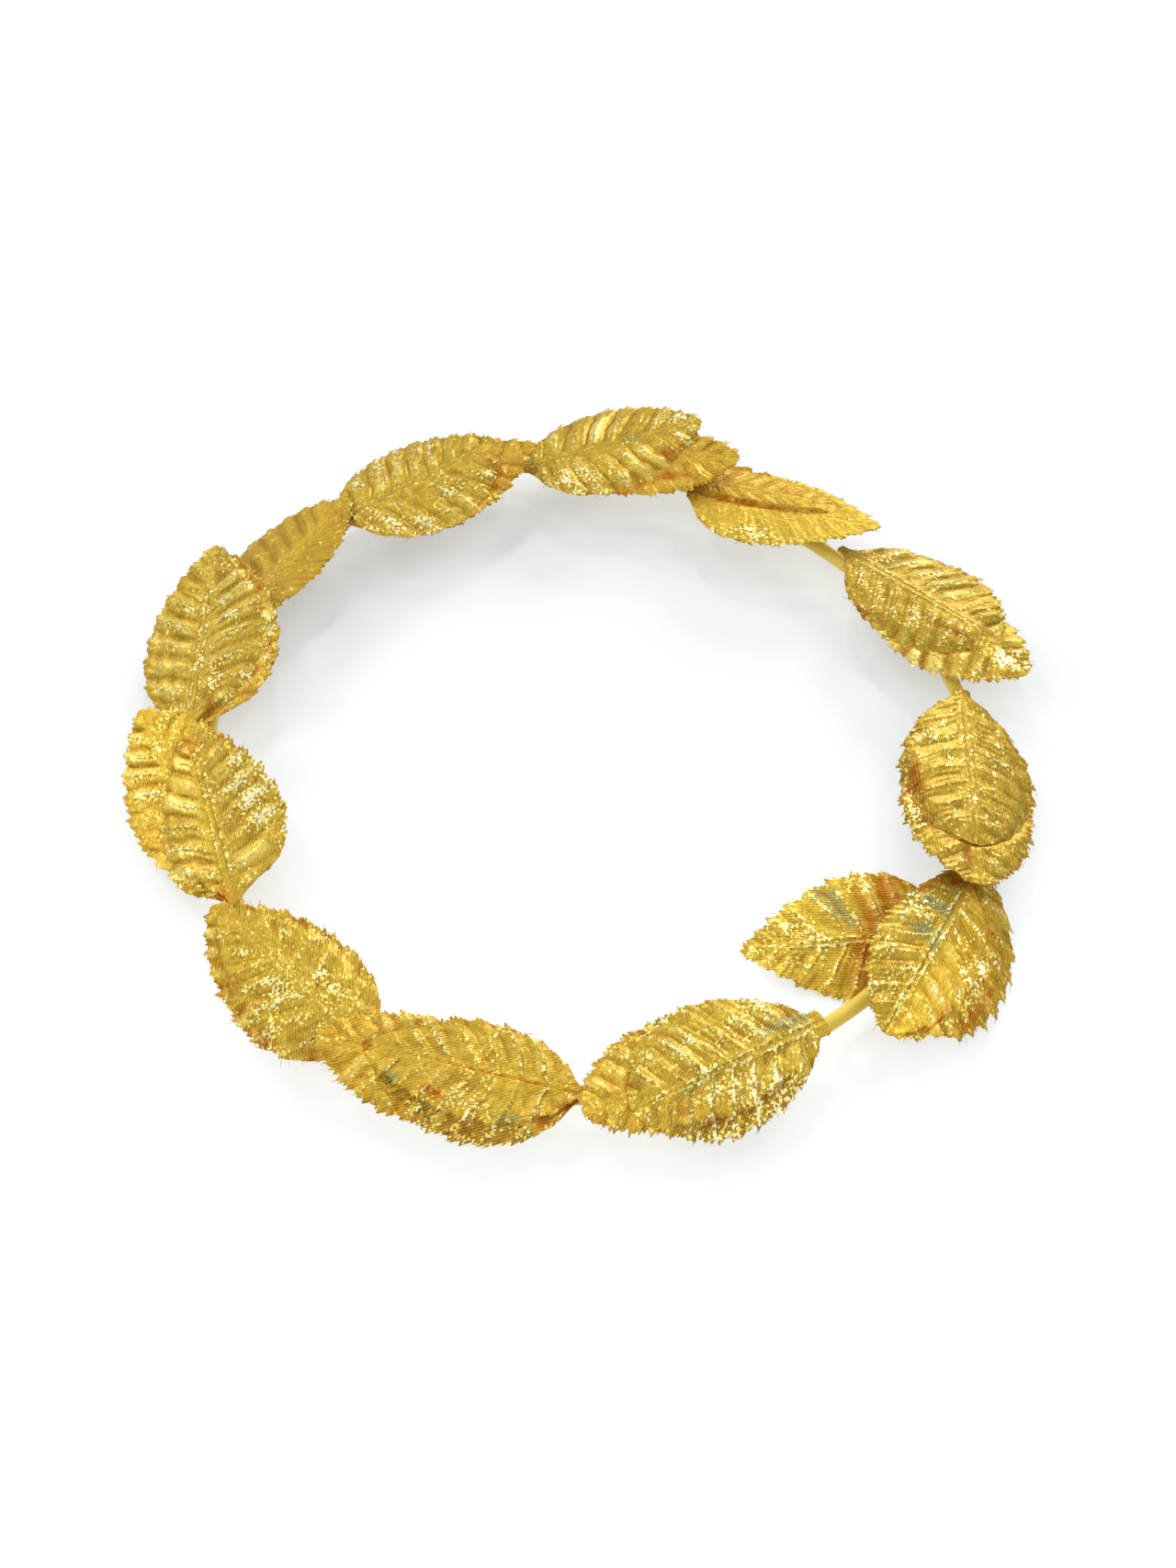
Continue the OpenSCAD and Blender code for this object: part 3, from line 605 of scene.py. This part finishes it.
def new_object(name, points, faces, material, smooth_angle=None):
    """Object of points in mm, smooth but for edges above the smooth angle."""
    mesh = bpy.data.meshes.new(name)
    mesh.from_pydata((np.asarray(points) * MM).tolist(), [], faces)
    mesh.polygons.foreach_set("use_smooth", [True] * len(mesh.polygons))
    if smooth_angle:
        mesh.set_sharp_from_angle(angle=math.radians(smooth_angle))
    mesh.materials.append(material)
    obj = bpy.data.objects.new(name, mesh)
    bpy.context.scene.collection.objects.link(obj)
    return obj


def set_attribute(obj, name, values):
    """Stores one float, or three, at each point."""
    kind, key = ("FLOAT_VECTOR", "vector") if values.ndim == 2 else ("FLOAT", "value")
    attribute = obj.data.attributes.new(name, kind, "POINT")
    attribute.data.foreach_set(key, np.asarray(values, np.float32).ravel())


def thread_space(name, x, y, seed):
    """Coordinates along and across the weave, mm."""
    angle = look(name)["thread"] * D2R
    c, s = math.cos(angle), math.sin(angle)
    return np.stack([x * c + y * s, -x * s + y * c, np.full_like(x, seed * 3.7)], axis=-1)


def orange_and_crease_shade(name, k, s, t, x, y, seed):
    """How orange-brown the cloth is: its own orange, more at edges and at its base, and painted shade
    beside the leaf above and along a doubled edge.
    """
    contact_shade = 0
    if name.endswith("_under"):
        # Painted contact shade on an under leaf just outside the leaf above.
        contact_shade = np.exp(-(np.clip(outside_of(partner(name), name, x, y), 0, None) / 1.1) ** 2)
        contact_shade = contact_shade * smoothstep(-0.35, 0.35, noise(x / 2.4, y / 2.4, seed + 21))
        contact_shade = contact_shade * (smoothstep(0.3, -0.1, s) if name in ("leaf_i_under", "leaf_k_under") else 1)
    near_edge = smoothstep(0.86, 1.0, np.abs(s)) * (0.5 + 0.5 * noise(x / 3, y / 3, seed + 20))
    # Painted crevice shade along the ragged line of a doubled edge.
    past, here = tuck_line(name, k, s, t, seed)
    broken = smoothstep(-0.5, 0.3, noise(k / 1.4, s * 0, seed + 33))
    crevice_shade = here * np.exp(-((past - 0.025) / 0.035) ** 2) * broken
    return (look(name)["warm"] + CREASE_SHADE.get(name, CREASE_SHADE_PLAIN) * contact_shade + 0.25 * near_edge
            + 0.12 * (1 - smoothstep(0.02, 0.14, t)) + crevice_shade)


def flat_area(x, y):
    """Area of a flat grid, m2, from the diagonals of its cells."""
    ax, ay = x[1:, 1:] - x[:-1, :-1], y[1:, 1:] - y[:-1, :-1]
    bx, by = x[1:, :-1] - x[:-1, 1:], y[1:, :-1] - y[:-1, 1:]
    return float(np.abs(ax * by - ay * bx).sum()) / 2 * MM * MM


def sheet_faces(rows, columns):
    """Faces of a closed sheet from a grid of upper points and, after them, one of lower points."""
    index = np.arange(rows * columns).reshape(rows, columns)
    a, b, c, d = index[:-1, :-1], index[:-1, 1:], index[1:, 1:], index[1:, :-1]
    upper = np.stack([a, d, c, b], -1).reshape(-1, 4)
    lower = np.stack([a, b, c, d], -1).reshape(-1, 4) + index.size
    rim = np.concatenate([index[0, :-1], index[:-1, -1], index[-1, :0:-1], index[:0:-1, 0]])
    nxt = np.roll(rim, -1)
    edge = np.stack([rim, nxt, nxt + index.size, rim + index.size], -1)
    return np.concatenate([upper, lower, edge])


def build_leaf(name, seed, material):
    """Cloth of one leaf, with its flat size and flat area in m and m2."""
    k, s = np.meshgrid(np.linspace(0, STATIONS, ROWS + 1), COLUMNS, indexing="ij")
    t, x, y = leaf_grid(name, k, s)
    side, y = np.sign(s), gathered(name, t, s, y)
    out = edge_out(name, k, side, seed) * smoothstep(0.80, 1, np.abs(s))
    x, y = x + LEAN * out, y + side * out
    h, lie, crest, bead = relief(name, k, s, x, y, seed)
    rise, h = np.clip(h / FULL_RISE, -1, 1), h + lie
    thick = CLOTH / 2 * (1 - EDGE_LOSS * smoothstep(0.90, 1, np.abs(s)))
    top = leaf_to_wreath(name, x, y, h + thick) + STAND
    low = leaf_to_wreath(name, x, y, h - thick) + STAND
    low[..., 2] = np.maximum(low[..., 2], LOW_GAP)
    top[..., 2] = np.maximum(top[..., 2], TOP_GAP)
    points = np.concatenate([top.reshape(-1, 3), low.reshape(-1, 3)])
    obj = new_object(f"cloth_{name}", points, sheet_faces(*k.shape).tolist(), material, SHARP)
    weave = thread_space(name, x, y, seed).reshape(-1, 3)
    set_attribute(obj, "weave_mm", np.concatenate([weave, weave]))
    row = look(name)
    patch_warm_and_shade, green = place_spots(name, x, y, PATCHES)
    # Orange: the cloth's own, plus painted shade in creases and crevices.
    orange = orange_and_crease_shade(name, k, s, t, x, y, seed) + 0.9 * patch_warm_and_shade
    # Painted highlight on the crests, in loose patches; the same mask also makes them a little glossier.
    crest_gloss_and_painted_sheen = crest ** 1.5 * smoothstep(-0.15, 0.55, noise(x / 8 + 50, y / 8, seed + 60))
    crest_gloss_and_painted_sheen = crest_gloss_and_painted_sheen * smoothstep(0.4, 1.0, row["sheen"])
    # Painted light and shade: the outer half of some leaves is painted paler and the inner half darker.
    painted_half_shade = 1 + PAINTED_HALF_SHADE.get(name, 0) * (2 * smoothstep(-0.15, 0.15, s) - 1)
    foil = foil_share(name, k, s, x, y, crest, bead, seed)
    fields = {"warm": np.clip(orange, 0, 1.2), "green": green, "sheen": np.full_like(t, row["sheen"]),
              "rise": rise, "crest_gloss_and_painted_sheen": crest_gloss_and_painted_sheen, "foil": foil, "tone": row["tone"] * painted_half_shade}
    for label, field in fields.items():
        set_attribute(obj, label, np.concatenate([field.ravel(), field.ravel()]))
    cut = [HALF_W * (LEAVES[name][6] + LEAVES[name][7]) * MM, leaf_length(name) * MM]
    return obj, cut, flat_area(x, y)


def build_frays(name, seed, material):
    """Loose thread ends along the cut edge, each a thin bent strand that follows the weave."""
    rng, row = np.random.default_rng(seed + 900), look(name)
    k = rng.uniform(0.6, STATIONS - 0.3, FRAYS)
    side = rng.choice([-1.0, 1.0], FRAYS)
    t, x, y = leaf_grid(name, k, side)
    y = gathered(name, t, side, y)
    out = edge_out(name, k, side, seed)
    x, y = x + LEAN * out, y + side * (out - FRAY_INSET)
    h = sum(relief(name, k, side, x, y, seed)[:2])
    angle = row["thread"] * D2R + rng.normal(0, 0.28, FRAYS)
    dx, dy = np.cos(angle), np.sin(angle)
    flip = np.where(dy * side + 0.25 * dx > 0, 1.0, -1.0)
    length = rng.gamma(2.0, 0.28, FRAYS) + 0.20
    lift = rng.normal(0.1, 0.35, FRAYS)
    bend = rng.normal(0, 0.25, FRAYS)
    points, faces = [], []
    for i in range(FRAYS):
        base = len(points)
        for share in (0.0, 0.5, 1.0):
            d = length[i] * share
            cx = x[i] + flip[i] * d * dx[i] - bend[i] * share * share * dy[i]
            cy = y[i] + flip[i] * d * dy[i] + bend[i] * share * share * dx[i]
            r = FRAY_R * (1 - 0.55 * share)
            for q in range(3):
                wide, up = r * math.cos(2 * math.pi * q / 3), r * math.sin(2 * math.pi * q / 3)
                points.append((cx - wide * dy[i], cy + wide * dx[i], h[i] + lift[i] * share + up))
        for j in range(2):
            for q in range(3):
                p, p2 = base + 3 * j + q, base + 3 * j + (q + 1) % 3
                faces.append((p, p2, p2 + 3, p + 3))
        faces += [(base + 2, base + 1, base), (base + 6, base + 7, base + 8)]
    points = np.array(points)
    placed = leaf_to_wreath(name, points[:, 0], points[:, 1], points[:, 2]) + STAND
    placed[:, 2] = np.maximum(placed[:, 2], LOW_GAP)
    obj = new_object(f"frays_{name}", placed, faces, material)
    set_attribute(obj, "weave_mm", thread_space(name, points[:, 0], points[:, 1], seed))
    fields = {"warm": row["warm"], "green": 0.0, "sheen": row["sheen"], "rise": 0.4, "foil": 0.5,
              "tone": row["tone"]}
    for label, value in fields.items():
        set_attribute(obj, label, np.full(len(points), value))
    return obj


def build_hoop(material):
    """The coated wire, a closed ring."""
    a, b = (np.arange(count) * 2 * math.pi / count for count in (WIRE_STEPS, WIRE_SIDES))
    a, b = np.meshgrid(a, b, indexing="ij")
    r = ring_r(a) + WIRE_D / 2 * np.cos(b)
    points = np.stack([r * np.cos(a), r * np.sin(a), WIRE_D / 2 * np.sin(b)], -1).reshape(-1, 3) + STAND
    index = np.arange(a.size).reshape(a.shape)
    ahead = np.roll(index, -1, 0)
    faces = np.stack([index, ahead, np.roll(ahead, -1, 1), np.roll(index, -1, 1)], -1)
    return new_object("wire_hoop", points, faces.reshape(-1, 4).tolist(), material)


class Nodes:
    """Short way to write a node material."""

    def __init__(self, name):
        self.material = bpy.data.materials.new(name)
        self.material.use_nodes = True
        self.tree = self.material.node_tree
        self.shader = self.tree.nodes["Principled BSDF"]

    def add(self, kind, inputs=None, **settings):
        """A node with its settings, and a value or a link for each input."""
        node = self.tree.nodes.new(kind)
        for key, value in settings.items():
            setattr(node, key, value)
        for key, value in (inputs or {}).items():
            self.set(node.inputs[key], value)
        return node

    def set(self, socket, value):
        if isinstance(value, bpy.types.NodeSocket):
            self.tree.links.new(value, socket)
        else:
            socket.default_value = value

    def math(self, operation, a, b=0.0, clamp=False):
        return self.add("ShaderNodeMath", {0: a, 1: b}, operation=operation, use_clamp=clamp).outputs[0]

    def vector(self, operation, a, b=(0, 0, 0)):
        return self.add("ShaderNodeVectorMath", {0: a, 1: b}, operation=operation).outputs[0]

    def scale(self, vector, factor):
        return self.add("ShaderNodeVectorMath", {0: vector, "Scale": factor}, operation="SCALE").outputs[0]

    def cloud(self, vector, scale, detail, roughness=0.5):
        inputs = {"Vector": vector, "Scale": scale, "Detail": detail, "Roughness": roughness}
        return self.add("ShaderNodeTexNoise", inputs).outputs["Fac"]

    def cells(self, vector, scale):
        """A random colour for each small cell."""
        return self.add("ShaderNodeTexVoronoi", {"Vector": vector, "Scale": scale}).outputs["Color"]

    def bump(self, strength, distance, height, **normal):
        inputs = {"Strength": strength, "Distance": distance, "Height": height, **normal}
        return self.add("ShaderNodeBump", inputs).outputs[0]

    def blend(self, factor, a, b):
        node = self.add("ShaderNodeMix", data_type="RGBA")
        for i, value in ((0, factor), (6, a), (7, b)):
            self.set(node.inputs[i], value)
        return node.outputs[2]

    def band(self, value, low, high, start=0.0, end=1.0):
        """Value mapped from low and high to start and end, and held between them."""
        return self.add("ShaderNodeMapRange", {"Value": value, "From Min": low, "From Max": high,
                                               "To Min": start, "To Max": end}, clamp=True).outputs[0]


def lame_material():
    """Woven cloth with flecks of gold foil, from the fields that build_leaf stores at each point."""
    n = Nodes("gold_lame")
    weave = n.add("ShaderNodeAttribute", attribute_name="weave_mm").outputs["Vector"]
    warm, sheen, rise, foil, tone, green, crest_gloss_and_painted_sheen = (
        n.add("ShaderNodeAttribute", attribute_name=label).outputs["Fac"]
        for label in ("warm", "sheen", "rise", "foil", "tone", "green", "crest_gloss_and_painted_sheen"))
    # Small flat flecks of foil; where they lie thick, many are painted pale as glints and tilted their own
    # way.
    strip = n.cells(n.vector("MULTIPLY", weave, (0.75, 2.1, 1.0)), 1.0)
    fleck = n.cells(n.vector("MULTIPLY", weave, (0.8, 1.1, 1.0)), 2.2)
    pick, pick2, pick3 = n.add("ShaderNodeSeparateColor", {0: strip}).outputs
    _, chance, grain = n.add("ShaderNodeSeparateColor", {0: fleck}).outputs
    lit = n.band(n.math("ADD", chance, n.math("MULTIPLY", foil, 0.55)), 1.00, 1.08)
    half = (0.5, 0.5, 0.5)
    tilt = n.vector("MULTIPLY", n.vector("SUBTRACT", strip, half), half)
    tilt = n.vector("ADD", n.vector("SUBTRACT", fleck, half), tilt)
    tilt = n.scale(tilt, n.band(lit, 0.0, 1.0, 0.10, 0.34))
    bent = n.vector("NORMALIZE", n.vector("ADD", n.add("ShaderNodeNewGeometry").outputs["Normal"], tilt))
    rumple = n.cloud(n.vector("MULTIPLY", weave, (0.42, 0.90, 1.0)), 1.0, 2.0, 0.55)
    bent = n.bump(0.6, 0.00020, rumple, Normal=bent)
    # Threads side by side.
    along, across, _ = n.add("ShaderNodeSeparateXYZ", {0: weave}).outputs
    thread = n.math("SINE", n.math("MULTIPLY", across, 2 * math.pi / THREAD_MM))
    ply = n.math("SINE", n.math("MULTIPLY", along, 2 * math.pi / PLY_MM))
    woven = n.math("ADD", n.math("MULTIPLY", thread, 0.5), n.math("MULTIPLY", ply, 0.15))
    # Colour: foil over an ochre yarn, warmer with painted shade in the creases, with a few dull green
    # patches.
    gold = n.blend(pick, *GOLD)
    drift = n.cloud(weave, 0.35, 4.0, 0.65)
    gold = n.blend(n.band(drift, 0.48, 0.72, 0.0, 0.8), gold, OCHRE)
    orange_and_shade = n.math("MULTIPLY", warm, n.band(n.cloud(weave, 0.28, 3.0), 0.35, 0.65, 0.35, 1.5), clamp=True)
    colour = n.blend(orange_and_shade, gold, n.blend(pick2, *BROWN))
    green = n.math("MULTIPLY", green, n.band(drift, 0.35, 0.60, 0.5, 1.5))
    spotted = n.math("MULTIPLY", green, n.band(pick3, 0.0, 0.5, 0.5, 1.0))
    colour = n.blend(n.band(spotted, 0.35, 0.65, 0.0, 0.90), colour, DULL_GREEN)
    # Painted shade in the grooves: they are darkened towards brown, and below, the gaps between threads open
    # wider there too.
    colour = n.blend(n.band(rise, 0.1, -0.9, 0.0, 0.65), colour, GROOVE_SHADE)
    stain_and_shade_opening = n.math("MULTIPLY", n.math("MAXIMUM", orange_and_shade, green), 0.35)
    open_weave = n.math("ADD", n.band(rise, 0.1, -0.6, 0.26, 0.65), stain_and_shade_opening)
    gaps = n.math("MULTIPLY", n.band(thread, -0.2, -1.0), open_weave, clamp=True)
    colour = n.blend(gaps, colour, THREAD_GAP)
    # Crests get a painted highlight. Between thick flecks the yarn looks darker, and the flecks themselves
    # are painted pale, a painted glint that shows in any light.
    colour = n.blend(n.math("MULTIPLY", crest_gloss_and_painted_sheen, 0.60), colour, CREST_HIGHLIGHT)
    unlit = n.math("SUBTRACT", 1.0, lit)
    shade = n.math("MULTIPLY", n.band(foil, 0.2, 0.9, 0.0, 0.80), unlit)
    colour = n.blend(n.math("MULTIPLY", shade, n.band(grain, 0.2, 0.8)), colour, YARN)
    bright = n.blend(n.band(n.math("ADD", grain, n.math("MULTIPLY", foil, 0.5)), 0.85, 1.2), *FLECK_GLINT)
    colour = n.blend(n.math("MULTIPLY", lit, n.band(orange_and_shade, 0.4, 1.0, 0.92, 0.30)), colour, bright)
    uneven = n.math("MULTIPLY", n.math("SUBTRACT", grain, 0.5), n.band(foil, 0.05, 0.6, 0.30, 0.80))
    tone = n.math("MULTIPLY", tone, n.math("ADD", 1.0, n.math("MULTIPLY", uneven, unlit)))
    n.set(n.shader.inputs["Base Color"], n.scale(colour, tone))
    metal = n.math("MULTIPLY", n.band(sheen, 0.2, 1.0, 0.35, 0.56), n.band(lit, 0.0, 1.0, 1.0, 0.40))
    n.set(n.shader.inputs["Metallic"], n.math("MULTIPLY", metal, n.band(orange_and_shade, 0.3, 0.9, 1.0, 0.35)))
    rough = n.math("SUBTRACT", n.band(lit, 0.0, 1.0, 0.47, 0.22), n.math("MULTIPLY", crest_gloss_and_painted_sheen, 0.10))
    n.set(n.shader.inputs["Roughness"], n.math("ADD", rough, n.band(orange_and_shade, 0.3, 0.9, 0.0, 0.25)))
    n.set(n.shader.inputs["Normal"], n.bump(0.22, 0.00010, woven, Normal=bent))
    n.shader.inputs["Specular IOR Level"].default_value = 0.12
    n.shader.inputs["Specular Tint"].default_value = (1.0, 0.90, 0.60, 1)
    gloss = n.math("MULTIPLY", n.band(lit, 0.0, 1.0, 0.06, 0.45), n.band(orange_and_shade, 0.2, 0.9, 1.0, 0.25))
    n.set(n.shader.inputs["Coat Weight"], n.math("MULTIPLY", gloss, sheen))
    n.set(n.shader.inputs["Coat Normal"], bent)
    n.shader.inputs["Coat Roughness"].default_value = 0.16
    n.shader.inputs["Coat IOR"].default_value = 1.8
    return n.material


def wire_material():
    """Yellow plastic coating, faintly mottled."""
    n = Nodes("coated_wire")
    cloud = n.cloud(n.add("ShaderNodeTexCoord").outputs["Object"], 140.0, 3.0)
    n.set(n.shader.inputs["Base Color"], n.blend(cloud, *COATING))
    n.set(n.shader.inputs["Roughness"], n.band(cloud, 0.3, 0.7, 0.42, 0.58))
    n.set(n.shader.inputs["Normal"], n.bump(0.25, 0.0001, cloud))
    return n.material


def floor_material():
    """White table with some light of its own, less of it behind the wreath than in front."""
    n = Nodes("white_table")
    n.shader.inputs["Base Color"].default_value = TABLE
    n.shader.inputs["Roughness"].default_value = 0.9
    n.shader.inputs["Specular IOR Level"].default_value = 0.1
    n.shader.inputs["Emission Color"].default_value = TABLE_GLOW
    y = n.add("ShaderNodeSeparateXYZ", {0: n.add("ShaderNodeTexCoord").outputs["Object"]}).outputs[1]
    (front, front_glow), (back, back_glow) = GLOW_FRONT, GLOW_BACK
    n.set(n.shader.inputs["Emission Strength"], n.band(y, front, back, front_glow, back_glow))
    return n.material


lame, wire, table_top = lame_material(), wire_material(), floor_material()

hoop = build_hoop(wire)
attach(hoop, "root")
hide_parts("hoop")

for number, leaf_name in enumerate(LEAVES):
    seed = 17 * number + 5
    cloth, cut, area = build_leaf(leaf_name, seed, lame)
    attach(cloth, "root")
    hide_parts(leaf_name)
    frays = build_frays(leaf_name, seed, lame)
    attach(frays, "root")

# Table, light and camera.
bpy.ops.mesh.primitive_plane_add(size=TABLE_SIZE)
floor = bpy.context.object
floor.name = "table"
floor.data.materials.append(table_top)

scene = bpy.context.scene
world = bpy.data.worlds.new("studio")
world.use_nodes = True
tree = world.node_tree
place = tree.nodes.new("ShaderNodeTexCoord")
split = tree.nodes.new("ShaderNodeSeparateXYZ")
shade = tree.nodes.new("ShaderNodeMapRange")
shade.interpolation_type = "SMOOTHSTEP"
for socket, value in zip(("From Min", "To Min", "From Max", "To Max"), SKY_FRONT + SKY_BACK):
    shade.inputs[socket].default_value = value
tree.links.new(place.outputs["Generated"], split.inputs[0])
tree.links.new(split.outputs[1], shade.inputs["Value"])
tree.links.new(shade.outputs[0], tree.nodes["Background"].inputs[1])
tree.nodes["Background"].inputs[0].default_value = SKY
scene.world = world


def area_light(name, azimuth, elevation, size, glow):
    """Square soft light that faces the wreath."""
    data = bpy.data.lights.new(name, "AREA")
    data.shape, data.size, data.energy = "SQUARE", size, glow * math.pi * size * size
    lamp = bpy.data.objects.new(name, data)
    a, e = azimuth * D2R, elevation * D2R
    away = Vector((math.sin(a) * math.cos(e), -math.cos(a) * math.cos(e), math.sin(e)))
    lamp.location = away * LIGHT_DISTANCE
    lamp.rotation_euler = away.to_track_quat("Z", "Y").to_euler()
    scene.collection.objects.link(lamp)


for light, row in LIGHTS.items():
    area_light(light, *row)

lens = bpy.data.cameras.new("camera")
lens.sensor_width = SENSOR
lens.lens = FOCAL * SENSOR / FRAME_H
camera = bpy.data.objects.new("camera", lens)
toward_camera = Vector((0, -math.cos(CAMERA_ELEVATION), math.sin(CAMERA_ELEVATION)))
camera.location = AIM + toward_camera * CAMERA_DISTANCE
camera.rotation_euler = (math.pi / 2 - CAMERA_ELEVATION, 0, 0)
scene.collection.objects.link(camera)
scene.camera = camera
scene.view_settings.view_transform = "Standard"
